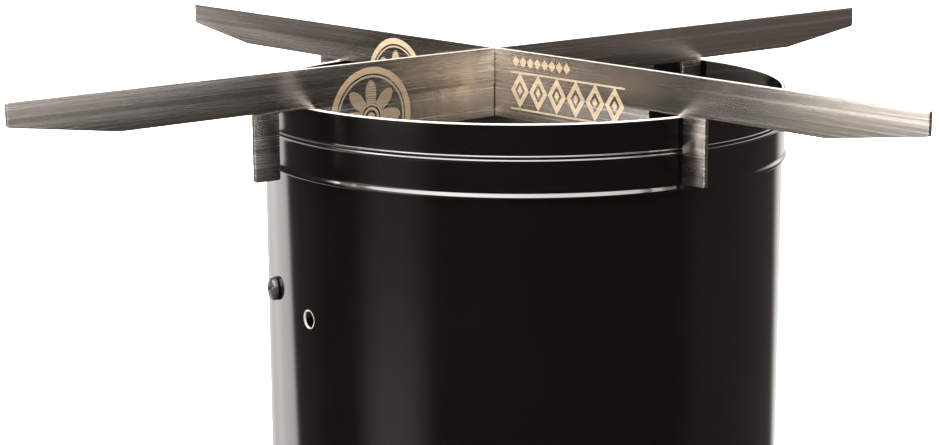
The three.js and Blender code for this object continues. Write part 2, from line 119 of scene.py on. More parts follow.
def prism(outline, z0, z1):
    n = len(outline)
    verts = [(x, y, z0) for x, y in outline] + [(x, y, z1) for x, y in outline]
    faces = [list(range(n))[::-1], list(range(n, 2 * n))]
    faces += [[i, (i + 1) % n, n + (i + 1) % n, n + i] for i in range(n)]
    return verts, faces


def rod(r, z0, z1, segs=48, chamfer=0.0):
    if chamfer:
        return lathe([(0, z0), (r - chamfer, z0), (r, z0 + chamfer), (r, z1 - chamfer), (r - chamfer, z1), (0, z1)], segs)
    return lathe([(0, z0), (r, z0), (r, z1), (0, z1)], segs)


def moved(geo, matrix):
    return [tuple(matrix @ Vector(v)) for v in geo[0]], geo[1]


def joined(*geos):
    verts, faces = [], []
    for v, f in geos:
        faces += [[i + len(verts) for i in q] for q in f]
        verts += v
    return verts, faces


ACROSS = Matrix(((0, 0, 1, 0), (1, 0, 0, 0), (0, 1, 0, 0), (0, 0, 0, 1)))     # local z -> x, x -> y, y -> z


def radial(geo, azimuth, z):
    """A shape drawn with x sideways and y up, pushed out along the radius."""
    return moved(geo, Matrix.Rotation(math.radians(azimuth), 4, "Z") @ Matrix.Translation((0, 0, z)) @ ACROSS)


def make(name, geo, place=None):
    me = bpy.data.meshes.new(name)
    me.from_pydata([tuple(c * MM for c in v) for v in geo[0]], [], geo[1])
    bm = bmesh.new()
    bm.from_mesh(me)
    bmesh.ops.remove_doubles(bm, verts=bm.verts, dist=1e-7)
    bmesh.ops.recalc_face_normals(bm, faces=bm.faces)
    bm.to_mesh(me)
    bm.free()
    ob = bpy.data.objects.new(name, me)
    bpy.context.scene.collection.objects.link(ob)
    if place is not None:
        ob.matrix_world = place
    return ob


def settle(ob):
    """Applies the object's modifiers to its mesh."""
    bpy.context.view_layer.update()
    dg = bpy.context.evaluated_depsgraph_get()
    me = bpy.data.meshes.new_from_object(ob.evaluated_get(dg))
    ob.modifiers.clear()
    old, ob.data = ob.data, me
    bpy.data.meshes.remove(old)
    me.name = ob.name
    return ob


def boolean(ob, geo, operation="DIFFERENCE"):
    tool = make("tool", geo)
    tool.matrix_world = ob.matrix_world
    m = ob.modifiers.new("b", "BOOLEAN")
    m.object, m.operation, m.solver = tool, operation, "EXACT"
    settle(ob)
    me = tool.data
    bpy.data.objects.remove(tool)
    bpy.data.meshes.remove(me)
    return ob


def bevel(ob, width, segments=2, angle=35):
    m = ob.modifiers.new("v", "BEVEL")
    m.width, m.segments, m.limit_method, m.angle_limit = width * MM, segments, "ANGLE", math.radians(angle)
    m.harden_normals = False
    m.use_clamp_overlap = True
    return settle(ob)


def smooth(ob, angle=32):
    me = ob.data
    me.polygons.foreach_set("use_smooth", [True] * len(me.polygons))
    me.set_sharp_from_angle(angle=math.radians(angle))
    return ob


def normals(ob, rule):
    """Sets each corner's normal from rule(point, face normal), so cut surfaces shade as the true curve."""
    me = ob.data
    me.polygons.foreach_set("use_smooth", [True] * len(me.polygons))
    co = [v.co / MM for v in me.vertices]
    out = [None] * len(me.loops)
    for p in me.polygons:
        fn = p.normal.copy()
        for li in p.loop_indices:
            out[li] = rule(co[me.loops[li].vertex_index], fn)
    me.normals_split_custom_set(out)
    return ob


# -------------------------------------------------------------------- materials
class Nodes:
    def __init__(self, name):
        self.mat = bpy.data.materials.new(name)
        self.mat.use_nodes = True
        self.t = self.mat.node_tree
        self.t.nodes.clear()
        self.out = self.t.nodes.new("ShaderNodeOutputMaterial")
        self.bsdf = self.t.nodes.new("ShaderNodeBsdfPrincipled")
        self.t.links.new(self.bsdf.outputs[0], self.out.inputs[0])
        self.co = self.t.nodes.new("ShaderNodeTexCoord").outputs["Object"]

    def put(self, socket, value):
        if isinstance(value, bpy.types.NodeSocket):
            self.t.links.new(value, socket)
        elif isinstance(value, (tuple, list)) and len(value) == 3 and socket.type == "RGBA":
            socket.default_value = (*value, 1)
        else:
            socket.default_value = value

    def math(self, op, a, b=None, c=None, clamp=False):
        n = self.t.nodes.new("ShaderNodeMath")
        n.operation, n.use_clamp = op, clamp
        for i, v in enumerate((a, b, c)):
            if v is not None:
                self.put(n.inputs[i], v)
        return n.outputs[0]

    def mix(self, fac, a, b, kind="RGBA", blend="MIX"):
        n = self.t.nodes.new("ShaderNodeMix")
        n.data_type = kind
        k = {"RGBA": (6, 7, 2), "FLOAT": (2, 3, 0)}[kind]
        if kind == "RGBA":
            n.blend_type = blend
        self.put(n.inputs[0], fac)
        self.put(n.inputs[k[0]], a)
        self.put(n.inputs[k[1]], b)
        return n.outputs[k[2]]

    def scaled(self, s, co=None, rotation=None, offset=None):
        n = self.t.nodes.new("ShaderNodeMapping")
        self.put(n.inputs[0], co or self.co)
        n.inputs["Scale"].default_value = s if isinstance(s, (tuple, list)) else (s, s, s)
        if rotation:
            n.inputs["Rotation"].default_value = rotation
        if offset:
            n.inputs["Location"].default_value = offset
        return n.outputs[0]

    def noise(self, scale, detail=3, rough=0.55, co=None, distortion=0.0):
        n = self.t.nodes.new("ShaderNodeTexNoise")
        self.put(n.inputs["Vector"], co or self.co)
        n.inputs["Scale"].default_value = scale
        n.inputs["Detail"].default_value = detail
        n.inputs["Roughness"].default_value = rough
        n.inputs["Distortion"].default_value = distortion
        return n.outputs[0]

    def voronoi(self, scale, co=None, feature="F1", out=0):
        n = self.t.nodes.new("ShaderNodeTexVoronoi")
        n.feature = feature
        self.put(n.inputs["Vector"], co or self.co)
        n.inputs["Scale"].default_value = scale
        return n.outputs[out]

    def step(self, v, a, b, lo=0.0, hi=1.0):
        n = self.t.nodes.new("ShaderNodeMapRange")
        n.interpolation_type = "SMOOTHSTEP"
        self.put(n.inputs[0], v)
        for i, x in enumerate((a, b, lo, hi)):
            self.put(n.inputs[1 + i], x)
        return n.outputs[0]

    def xyz(self, co=None):
        n = self.t.nodes.new("ShaderNodeSeparateXYZ")
        self.put(n.inputs[0], co or self.co)
        return n.outputs

    def bump(self, height, distance, strength=1.0, after=None):
        n = self.t.nodes.new("ShaderNodeBump")
        self.put(n.inputs["Height"], height)
        n.inputs["Distance"].default_value = distance
        n.inputs["Strength"].default_value = strength
        if after:
            self.put(n.inputs["Normal"], after)
        return n.outputs[0]

    def set(self, **values):
        names = {"color": "Base Color", "rough": "Roughness", "metal": "Metallic", "normal": "Normal",
                 "ior": "IOR", "aniso": "Anisotropic", "tangent": "Tangent", "spec": "Specular IOR Level",
                 "coat": "Coat Weight", "coat_rough": "Coat Roughness"}
        for k, v in values.items():
            self.put(self.bsdf.inputs[names[k]], v)
        return self.mat


def enamel():
    m = Nodes("black_enamel")
    z = m.xyz()[2]
    cloud = m.noise(14, 4, 0.6)
    colour = m.mix(cloud, (0.0006, 0.00045, 0.00045), (0.0013, 0.0010, 0.0009))
    dust = m.step(m.noise(2600, 2, 0.5), 0.70, 0.76)
    dust = m.math("MULTIPLY", dust, m.step(m.noise(35, 3, 0.6), 0.45, 0.75))
    colour = m.mix(m.math("MULTIPLY", dust, 0.35), colour, (0.12, 0.11, 0.10))
    # lighter metal along the very top edge, paint rubbed off to the metal: partly real wear, partly a painted
    # highlight, kept almost unbroken to stand for the rim's bright line
    rim = m.math("MULTIPLY", m.step(z, 0.3294, 0.32975), m.step(m.noise(160, 3, 0.65), 0.20, 0.42, 0.55, 1.0))
    colour = m.mix(m.math("MULTIPLY", rim, 0.8), colour, (0.42, 0.40, 0.37))
    # metal showing through the paint round the edge of the drilled side hole: partly real wear, partly a painted
    # highlight on the hole's edge
    ha = math.radians(SIDE_HOLE[0])
    x, y = m.xyz()[0:2]
    side = m.math("SUBTRACT", m.math("MULTIPLY", y, math.cos(ha)), m.math("MULTIPLY", x, math.sin(ha)))
    out = m.math("ADD", m.math("MULTIPLY", x, math.cos(ha)), m.math("MULTIPLY", y, math.sin(ha)))
    away = m.math("SQRT", m.math("ADD", m.math("POWER", side, 2.0), m.math("POWER", m.math("SUBTRACT", z, SIDE_HOLE[1] * MM), 2.0)))
    bare_edge_and_highlight = m.math("MULTIPLY", m.step(away, 0.00435, 0.0040), m.step(out, 0.0, 0.01))
    bare_edge_and_highlight = m.math("MULTIPLY", bare_edge_and_highlight, m.step(m.noise(700, 3, 0.6), 0.25, 0.45, 0.5, 1.0))
    colour = m.mix(bare_edge_and_highlight, colour, (0.17, 0.165, 0.16))
    smear = m.noise(1.0, 4, 0.6, m.scaled((26, 26, 5)))
    rough = m.math("ADD", 0.105, m.math("MULTIPLY", m.step(smear, 0.35, 0.75), 0.06))
    rough = m.math("ADD", rough, m.math("MULTIPLY", dust, 0.4))
    wave = m.bump(m.noise(11, 2, 0.4), 1.5e-4)
    peel = m.bump(m.noise(850, 2, 0.5), 4.0e-6, after=wave)
    return m.set(color=colour, rough=rough, normal=peel, ior=1.5)


def brushed(ornament=True, name="brushed_stainless"):
    """Stainless brushed along local X; the tan etched ornament is on the face towards local -Y."""
    m = Nodes(name)
    x, y, z = m.xyz()[0:3]
    fine = m.noise(1.0, 3, 0.6, m.scaled((9, 400, 4200)))
    coarse = m.noise(1.0, 3, 0.6, m.scaled((3.2, 60, 900)))
    long = m.noise(1.0, 2, 0.5, m.scaled((1.4, 10, 150)))
    cloud = m.noise(28, 3, 0.5)
    tone = m.math("ADD", m.math("MULTIPLY", fine, 0.40), m.math("MULTIPLY", coarse, 0.40))
    tone = m.math("ADD", tone, m.math("MULTIPLY", long, 0.20))
    steel = m.mix(m.step(tone, 0.32, 0.68), (0.41, 0.375, 0.345), (0.68, 0.64, 0.60))
    steel = m.mix(m.math("MULTIPLY", m.step(cloud, 0.40, 0.75), 0.25), steel, (0.52, 0.455, 0.385))
    # a few short scratches across the brushing
    scr = m.noise(1.0, 1, 0.4, m.scaled((340, 300, 55), rotation=(0, 0.5, 0)))
    scr = m.math("MULTIPLY", m.step(scr, 0.70, 0.73), m.step(m.noise(30, 2, 0.5), 0.50, 0.62))
    steel = m.mix(m.math("MULTIPLY", scr, 0.35), steel, (0.80, 0.78, 0.75))
    # a faint heat tint on the middle of the plates, over the fire
    xx = m.math("ABSOLUTE", x)
    heat = m.math("MULTIPLY", m.step(xx, 0.105, 0.03), m.step(m.noise(19, 3, 0.6), 0.25, 0.8))
    steel = m.mix(m.math("MULTIPLY", heat, 0.22), steel, (0.55, 0.42, 0.27))

    # etched ornament, metres in the blade's own plane
    def band(v, a, b, soft=1.2e-4):
        return m.math("MULTIPLY", m.step(v, a - soft, a + soft), m.step(v, b + soft, b - soft))

    dx = m.math("ADD", x, 0.0704)
    dz = m.math("ADD", z, 0.0235)
    r = m.math("SQRT", m.math("ADD", m.math("POWER", dx, 2.0), m.math("POWER", dz, 2.0)))
    ang = m.math("ARCTAN2", dz, dx)
    ring = m.math("MAXIMUM", band(r, 0.0186, 0.0212), band(r, 0.0170, 0.0176))
    # eight pointed petals round a small rosette, hatched
    petal = m.math("POWER", m.math("ABSOLUTE", m.math("COSINE", m.math("MULTIPLY", ang, 4.0))), 0.8)
    edge = m.math("ADD", 0.0050, m.math("MULTIPLY", petal, 0.0105))
    petals = m.math("MULTIPLY", m.step(m.math("SUBTRACT", edge, r), -1e-4, 2e-4), m.step(r, 0.0048, 0.0051))
    vein = m.math("SINE", m.math("MULTIPLY", r, 6200.0))
    petals = m.math("MULTIPLY", petals, m.step(vein, -0.75, -0.35))
    hub = m.math("MAXIMUM", band(r, 0.0031, 0.0040), m.step(r, 0.0019, 0.0017))
    etch = m.math("MAXIMUM", ring, m.math("MAXIMUM", petals, hub))
    # on the other half: a row of small lozenges, over a band of tall pointed arches
    def lozenges(x0, x1, z0, half_w, half_h, pitch):
        u = m.math("SUBTRACT", m.math("PINGPONG", m.math("SUBTRACT", x, x0), pitch / 2), 0.0)
        u = m.math("SUBTRACT", pitch / 2, u)
        v = m.math("ABSOLUTE", m.math("SUBTRACT", z, z0))
        d = m.math("ADD", m.math("DIVIDE", u, half_w), m.math("DIVIDE", v, half_h))
        return m.math("MULTIPLY", m.step(d, 1.06, 0.94), band(x, x0, x1, 5e-5))

    small = lozenges(0.0130, 0.0505, -0.0046, 0.0021, 0.0024, 0.0047)
    big = lozenges(0.0120, 0.0840, -0.0172, 0.0056, 0.0076, 0.0120)
    hole = lozenges(0.0120, 0.0840, -0.0172, 0.0034, 0.0047, 0.0120)
    core = lozenges(0.0120, 0.0840, -0.0172, 0.0015, 0.0021, 0.0120)
    big = m.math("MAXIMUM", m.math("MULTIPLY", big, m.math("SUBTRACT", 1.0, hole)), core)
    rail = m.math("MULTIPLY", m.math("MAXIMUM", band(z, -0.0097, -0.0090), band(z, -0.0259, -0.0252)), band(x, 0.0120, 0.0840))
    if ornament:
        etch = m.math("MAXIMUM", etch, m.math("MAXIMUM", small, m.math("MAXIMUM", big, rail)))
    etch = m.math("MULTIPLY", etch, m.step(y, -0.00088, -0.00094))
    grain = m.noise(2400, 3, 0.6)
    etch = m.math("MULTIPLY", etch, m.step(grain, 0.18, 0.36, 0.72, 1.0))
    tan = m.mix(m.step(m.noise(1.0, 2, 0.5, m.scaled((60, 400, 1600))), 0.3, 0.7), (0.25, 0.185, 0.115), (0.34, 0.265, 0.175))
    # painted shade: on the other plate the same etch is darkened, as that plate's face is turned from the light
    if not ornament:
        tan = m.mix(0.75, tan, (0.165, 0.12, 0.077), blend="MIX")
    colour = m.mix(etch, steel, tan)
    rough = m.math("ADD", 0.22, m.math("MULTIPLY", m.step(tone, 0.3, 0.7), 0.07))
    rough = m.mix(etch, rough, 0.62, "FLOAT")
    metal = m.mix(etch, 1.0, 0.25, "FLOAT")
    b1 = m.bump(fine, 2.2e-6)
    b2 = m.bump(coarse, 5.0e-6, after=b1)
    b3 = m.bump(etch, 1.2e-5, strength=0.5, after=b2)
    tan_node = m.t.nodes.new("ShaderNodeTangent")
    tan_node.direction_type, tan_node.uv_map = "UV_MAP", "brush"
    return m.set(color=colour, rough=rough, metal=metal, normal=b3, aniso=1.0, tangent=tan_node.outputs[0])


def black_oxide():
    m = Nodes("black_screw")
    n = m.noise(900, 4, 0.6)
    colour = m.mix(m.step(n, 0.35, 0.7), (0.010, 0.0095, 0.009), (0.026, 0.024, 0.023))
    wear = m.math("MULTIPLY", m.step(m.noise(420, 3, 0.6), 0.60, 0.72), 0.35)
    colour = m.mix(wear, colour, (0.14, 0.13, 0.12))
    rough = m.math("ADD", 0.26, m.math("MULTIPLY", n, 0.2))
    return m.set(color=colour, rough=rough, metal=0.35, normal=m.bump(n, 1.2e-5))


def zinc():
    m = Nodes("zinc_steel")
    cells = m.voronoi(260, out=1)
    n = m.noise(700, 4, 0.6)
    colour = m.mix(m.step(n, 0.3, 0.7), (0.52, 0.53, 0.54), (0.70, 0.70, 0.69))
    stain = m.math("MULTIPLY", m.step(m.noise(60, 4, 0.65), 0.52, 0.75), 0.45)
    colour = m.mix(stain, colour, (0.33, 0.29, 0.24))
    rough = m.math("ADD", 0.28, m.math("MULTIPLY", m.noise(120, 3, 0.6), 0.22))
    bump = m.bump(m.noise(1500, 2, 0.5), 4e-6)
    return m.set(color=colour, rough=rough, metal=1.0, normal=m.bump(cells, 2e-6, after=bump))


def iron():
    m = Nodes("cast_iron")
    n = m.noise(420, 6, 0.7)
    pits = m.voronoi(900)
    colour = m.mix(m.step(n, 0.3, 0.7), (0.020, 0.019, 0.018), (0.060, 0.057, 0.054))
    rust = m.math("MULTIPLY", m.step(m.noise(70, 5, 0.7), 0.56, 0.74), 0.55)
    colour = m.mix(rust, colour, (0.14, 0.062, 0.030))
    rough = m.math("ADD", 0.58, m.math("MULTIPLY", n, 0.25))
    b = m.bump(n, 2.2e-4)
    return m.set(color=colour, rough=rough, metal=0.35, normal=m.bump(pits, 8e-5, after=b))


def brass():
    m = Nodes("brass")
    turned = m.noise(1.0, 2, 0.5, m.scaled((90, 90, 2600)))
    cloud = m.noise(160, 4, 0.6)
    colour = m.mix(m.step(turned, 0.3, 0.7), (0.62, 0.43, 0.17), (0.80, 0.60, 0.28))
    colour = m.mix(m.math("MULTIPLY", m.step(cloud, 0.50, 0.78), 0.55), colour, (0.34, 0.21, 0.09))
    rough = m.math("ADD", 0.22, m.math("MULTIPLY", cloud, 0.22))
    return m.set(color=colour, rough=rough, metal=1.0, normal=m.bump(turned, 5e-6))


def plastic():
    m = Nodes("dark_plastic")
    grain = m.voronoi(3400)
    n = m.noise(240, 3, 0.6)
    colour = m.mix(n, (0.012, 0.012, 0.013), (0.022, 0.021, 0.021))
    rough = m.math("ADD", 0.42, m.math("MULTIPLY", n, 0.16))
    return m.set(color=colour, rough=rough, normal=m.bump(grain, 2.4e-5), ior=1.46)


def fibre():
    m = Nodes("fibre")
    n = m.noise(1400, 4, 0.7)
    colour = m.mix(n, (0.16, 0.055, 0.035), (0.33, 0.13, 0.085))
    return m.set(color=colour, rough=0.82, normal=m.bump(n, 4e-5), ior=1.45)


# the slotted plate's copy: emblem only, with its etch darkened as painted shade
PLAIN_BLADE_SHADED_ETCH = brushed(False, "brushed_stainless_plain_shaded_etch")
MATS = {"black_enamel": enamel(), "brushed_stainless": brushed(), "black_screw": black_oxide(), "zinc_steel": zinc(),
        "cast_iron": iron(), "brass": brass(), "dark_plastic": plastic(), "fibre": fibre()}


def dress(ob, material, body, *replaced):
    ob.data.materials.clear()
    ob.data.materials.append(MATS[material])
    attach(ob, body)
    if replaced:
        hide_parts(*replaced)
    return ob


# --------------------------------------------------------------------- cylinder
def arc(cx, cz, r, a0, a1, n):
    return [(cx + r * math.cos(math.radians(a0 + (a1 - a0) * i / n)), cz + r * math.sin(math.radians(a0 + (a1 - a0) * i / n))) for i in range(n + 1)]


def slot_outline(w, h, n=10):
    r = h / 2
    right = [(w / 2 - r + r * math.cos(a), r * math.sin(a)) for a in [math.radians(-90 + 180 * i / n) for i in range(n + 1)]]
    return right + [(-x, -y) for x, y in right]


def circle(r, n=40):
    return [(r * math.cos(2 * math.pi * i / n), r * math.sin(2 * math.pi * i / n)) for i in range(n)]


wall_mid = (SHELL_R + SHELL_RI) / 2
half_wall = (SHELL_R - SHELL_RI) / 2
shell_profile = (arc(wall_mid, half_wall, half_wall, -180, 0, 6)
                 + [(SHELL_R, z) for z in (60, 120, 180, 240, 296, 299)]
                 + arc(wall_mid, SHELL_H - half_wall, half_wall, 0, 180, 8)
                 + [(SHELL_RI, z) for z in (240, 180, 120, 60)])
sv, sf = lathe(shell_profile, 360)
# the sheet's lap joint stands a little proud up the back of the cylinder
lap = []
for v in sv:
    a = math.degrees(math.atan2(v[1], v[0]))
    r = math.hypot(v[0], v[1])
    if r > wall_mid + 0.3 and 3 < v[2] < 297 and 60 <= a <= 68:
        k = (r + 0.25) / r
        lap.append((v[0] * k, v[1] * k, v[2]))
    else:
        lap.append(v)
shell = make("shell_skin", (lap, sf))
cutters = []
for i in range(10):
    cutters.append(radial(prism(slot_outline(28, 9), 108, 125), 18 + 36 * i, 36))
for az in (BAR_AZ, BAR_AZ + 180):
    cutters.append(radial(prism(circle(3.3), 108, 125), az, SCREW_Z))
cutters.append(radial(prism(circle(SIDE_HOLE[2], 56), 108, 125), SIDE_HOLE[0], SIDE_HOLE[1]))
cutters.append(radial(prism(rounded([(-18, -18, 4), (18, -18, 4), (18, 18, 4), (-18, 18, 4)], 8), 108, 125), 90, TUBE_Z))
for az in (0, 90, 180, 270):
    cutters.append(radial(prism(circle(2.3, 24), 108, 125), az, 8))
boolean(shell, joined(*cutters))


def shell_rule(p, fn):
    r = math.hypot(p.x, p.y)
    radial_dir = Vector((p.x / r, p.y / r, 0))
    d = fn.dot(radial_dir)
    top, bottom = p.z > SHELL_H - half_wall - 0.01, p.z < half_wall + 0.01
    if (top or bottom) and abs(fn.x * -radial_dir.y + fn.y * radial_dir.x) < 0.3:
        zc = SHELL_H - half_wall if top else half_wall
        n = radial_dir * (r - wall_mid) + Vector((0, 0, p.z - zc))
        return n.normalized() if n.length > 1e-6 else fn
    if abs(d) > 0.996 and abs(fn.z) < 0.02:
        return radial_dir * (1 if d > 0 else -1)
    return fn


normals(shell, shell_rule)
dress(shell, "black_enamel", "stand", "shell")

# the ring: a rolled lower edge, a pressed bead and a rounded top edge
BEAD_Z = SHELL_H - 14.4

ring_profile = [(RING_RI + 0.05, RING_Z0 + 0.05), (RING_R + 0.55, RING_Z0 + 0.02), (RING_R + 0.82, RING_Z0 + 0.16),
                (RING_R + 0.96, RING_Z0 + 0.40), (RING_R + 0.98, RING_Z0 + 0.62)]
# the lower edge swells outwards in a soft curve, so it takes the light from above
for i in range(1, 17):
    t = i / 16
    ring_profile.append((RING_R + 0.98 * (0.5 + 0.5 * math.cos(math.pi * t)), RING_Z0 + 0.62 + 2.6 * t))
ring_profile += [(RING_R, RING_Z0 + 5.5), (RING_R, RING_Z0 + 9)]


def crest(z, proud, below, above, n=12):
    """A pressed line: a soft foot under its highest point at z, and a soft foot above it."""
    low = [(RING_R + proud * (0.5 - 0.5 * math.cos(math.pi * i / n)), z - below * (1 - i / n)) for i in range(1, n)]
    high = [(RING_R + proud * (0.5 + 0.5 * math.cos(math.pi * i / n)), z + above * i / n) for i in range(0, n + 1)]
    return low + high


ring_profile += [(RING_R, BEAD_Z - 2.2)] + crest(BEAD_Z - 0.75, 0.42, 0.9, 0.72) + crest(BEAD_Z + 0.95, 0.42, 0.9, 0.62)
ring_profile += [(RING_R, BEAD_Z + 3.2), (RING_R, SHELL_H - 6)]
ring_profile += arc(RING_R - 0.24, SHELL_H - 0.24, 0.24, 0, 90, 5) + arc(RING_RI + 0.14, SHELL_H - 0.14, 0.14, 90, 180, 3)
ring = make("ring_band", lathe(ring_profile, 360))
smooth(ring, 50)
dress(ring, "black_enamel", "stand", "top_ring")

# base pan, standing lip and rolled corner
BASE_R = SHELL_RI - 0.5
pan_profile = ([(0, 0)] + [(BASE_R * 0.5, 0), (BASE_R * 0.62, 0), (BASE_R * 0.64, 0.0)] + arc(BASE_R - 1.5, 1.5, 1.5, -90, 0, 5)
               + arc(BASE_R - 0.6, 13.4, 0.6, 0, 180, 6) + arc(BASE_R - 1.7, 1.7, 0.5, 0, -90, 4)
               + [(BASE_R * 0.66, 1.2), (BASE_R * 0.64, 1.75), (BASE_R * 0.60, 1.75), (BASE_R * 0.58, 1.2), (0, 1.2)])
pan = make("base_pan_skin", lathe(pan_profile, 240))
boolean(pan, joined(*[radial(prism(circle(2.3, 24), 108, 125), az, 8) for az in (0, 90, 180, 270)]))
smooth(pan, 40)
dress(pan, "black_enamel", "stand", "base_pan")

names = ["right", "back", "left", "front"]
for i, az in enumerate((0, 90, 180, 270)):
    place = Matrix.Rotation(math.radians(az), 4, "Z") @ Matrix.Translation(((SHELL_R + 0.3) * MM, 0, 8 * MM)) @ Matrix.Rotation(math.pi / 2, 4, "Y")
    dome = [(0, -5.3), (2.3, -5.3), (2.9, -4.9), (2.95, -3.6), (2.75, -3.4), (2.0, -3.3), (2.0, 0), (3.75, 0), (4.0, 0.12), (3.95, 0.35), (3.6, 0.75), (3.0, 1.08), (2.2, 1.3), (1.35, 1.42), (1.2, 1.25), (0.95, 1.1), (0, 1.1)]
    rivet = make("rivet_" + names[i], lathe(dome, 48), place)
    smooth(rivet, 38)
    dress(rivet, "black_screw", "stand", "base_rivet_" + names[i])

# -------------------------------------------------------------------- pot cross
L, TIP_H, TAPER, ARM_H, RO, RI, DROP, NR, NOTCH, DEEP = 242, 9.65, 193.4, 16.4, 130.5, 118.0, 44.9, 98.3, 16.85, 30.55
lapz = -DEEP / 2


def blade(name, node, slot_below, turn):
    half = [(L, 0, 0.7), (L, -TIP_H, 1.0), (TAPER, -ARM_H, 6), (RO, -ARM_H, 0.6), (RO, -DROP, 0.9), (RI, -DROP, 0.9),
            (RI, -NOTCH, 0.6), (NR, -NOTCH, 0.6), (NR, -DEEP, 0.9)]
    w = 1.4 if slot_below else 1.25
    right = list(half)
    left = [(-x, y, r) for x, y, r in half][::-1]
    if slot_below:
        pts = right + [(w, -DEEP, 0.3), (w, lapz + 0.15, 0.25), (-w, lapz + 0.15, 0.25), (-w, -DEEP, 0.3)] + left
    else:
        pts = right + left + [(-w, 0, 0.3), (-w, lapz - 0.15, 0.25), (w, lapz - 0.15, 0.25), (w, 0, 0.3)]
    outline = rounded(pts, 6)
    verts, faces = prism(outline, -1.0, 1.0)
    verts = [(x, -z, y) for x, y, z in verts]
    place = Matrix.Translation(CROSS) @ Matrix.Rotation(math.radians(turn), 4, "Z")
    ob = make(name, (verts, faces), place)
    bevel(ob, 0.26, 3, 40)
    uv = ob.data.uv_layers.new(name="brush")
    for loop in ob.data.loops:
        c = ob.data.vertices[loop.vertex_index].co
        uv.data[loop.index].uv = (c.z * 4 + c.y * 0.37, c.x * 4)
    me = ob.data
    me.polygons.foreach_set("use_smooth", [False] * len(me.polygons))
    for p in me.polygons:                       # only the narrow rounded edges shade smooth
        if abs(p.normal.y) < 0.999 and p.area < 4e-6:
            p.use_smooth = True
    me.set_sharp_from_angle(angle=math.radians(40))
    dress(ob, "brushed_stainless", "pot_cross", node)
    # this plate takes the copy whose etch is darkened as painted shade
    if slot_below:
        ob.data.materials[0] = PLAIN_BLADE_SHADED_ETCH
    return ob


blade("blade_a", "cross_blade_a", True, 45)
blade("blade_b", "cross_blade_b", False, -45)


# --------------------------------------------------------- screws, nuts and bar
def pan_head(name, node, place, shank, length, head_r, head_h, recess, material, body="stand"):
    prof = [(0, -length), (shank - 0.5, -length), (shank, -length + 0.6)]
    z = -length + 0.8
    while z < -min(4.0, length * 0.25):
        prof += [(shank, z), (shank - 0.32, z + 0.45)]
        z += 0.95
    prof += [(shank - 0.1, -0.6), (shank - 0.1, 0), (head_r - 0.25, 0), (head_r - 0.06, 0.08), (head_r, 0.3), (head_r, head_h * 0.36)]
    for i in range(1, 13):
        a = math.radians(90 * i / 12)
        prof.append((head_r * math.cos(a) ** 0.8 if i < 12 else 0, head_h * (0.36 + 0.64 * math.sin(a))))
    ob = make(name, lathe(prof, 72), place)
    d0, w = head_h * 0.36, recess
    k = 0.62

    def arm(turned):
        a, b = w, w * 0.23
        top = [(-a, -b), (a, -b), (a, b), (-a, b)]
        vs = [(x * k, y * k, d0) for x, y in top] + [(x * 1.15, y * 1.15, head_h + 0.8) for x, y in top]
        fs = [[3, 2, 1, 0], [4, 5, 6, 7]] + [[i, (i + 1) % 4, 4 + (i + 1) % 4, 4 + i] for i in range(4)]
        return moved((vs, fs), Matrix.Rotation(turned, 4, "Z"))

    spin = 0.35
    boolean(ob, arm(spin))
    boolean(ob, arm(spin + math.pi / 2))
    smooth(ob, 33)
    dress(ob, material, body, node)
    return ob


def hexagon(af):
    return [(af / math.sqrt(3) * math.cos(math.radians(60 * i)), af / math.sqrt(3) * math.sin(math.radians(60 * i))) for i in range(6)]


def hex_body(af, z0, z1, chamfer=0.6, segs=96):
    """Geometry of a hexagon prism whose corners are turned down at both ends; returned as an object to cut further."""
    ob = make("hex", prism(hexagon(af), z0, z1))
    rc = af / math.sqrt(3)
    env = lathe([(0, z0), (af / 2 - 0.1, z0), (rc + 0.05, z0 + chamfer), (rc + 0.05, z1 - chamfer), (af / 2 - 0.1, z1), (0, z1)], segs)
    boolean(ob, env, "INTERSECT")
    return ob


def nut(name, node, place, af=10, h=5, bore=3.2):
    ob = hex_body(af, 0, h)
    ob.name = name
    hole = lathe([(0, -1), (bore + 0.6, -1), (bore + 0.6, 0), (bore, 0.6), (bore, h - 0.6), (bore + 0.6, h), (bore + 0.6, h + 1), (0, h + 1)], 48)
    boolean(ob, hole)
    ob.matrix_world = place
    bevel(ob, 0.12, 2, 30)
    smooth(ob, 30)
    return dress(ob, "zinc_steel", "stand", node)


R4 = Matrix.Rotation
for side, az in (("right", BAR_AZ), ("left", BAR_AZ + 180)):
    spin = R4(math.radians(az), 4, "Z")
    out = spin @ Matrix.Translation(((SHELL_R + 0.3) * MM, 0, SCREW_Z * MM)) @ R4(math.pi / 2, 4, "Y")
    pan_head("screw_" + side, "support_screw_" + side, out, 2.9, 17, 5.3, 3.4, 2.9, "black_screw")
    inn = spin @ Matrix.Translation(((114.8 - 3.3) * MM, 0, SCREW_Z * MM)) @ R4(-math.pi / 2, 4, "Y")
    nut("nut_" + side, "support_nut_" + side, inn)

END, BZ, BT, UP = 114.8, 233, 3, 257
side = rounded([(-END, BZ, 3.4), (END, BZ, 3.4), (END, UP, 0), (END - BT, UP, 0), (END - BT, BZ + BT, 0.9),
                (-END + BT, BZ + BT, 0.9), (-END + BT, UP, 0), (-END, UP, 0)], 8)
bv, bf = prism(side, -12.5, 12.5)
bar = make("support_bar", ([(x, -z, y) for x, y, z in bv], bf), R4(math.radians(BAR_AZ), 4, "Z"))
holes = [moved(prism(circle(3.3), s * 110 - 12, s * 110 + 12), Matrix.Translation((0, 0, SCREW_Z)) @ ACROSS) for s in (1, -1)]
boolean(bar, joined(*holes, rod(3.4, 225, 242, 40)))
bevel(bar, 0.35, 2, 40)
smooth(bar, 30)
dress(bar, "zinc_steel", "stand", "burner_support_bar")

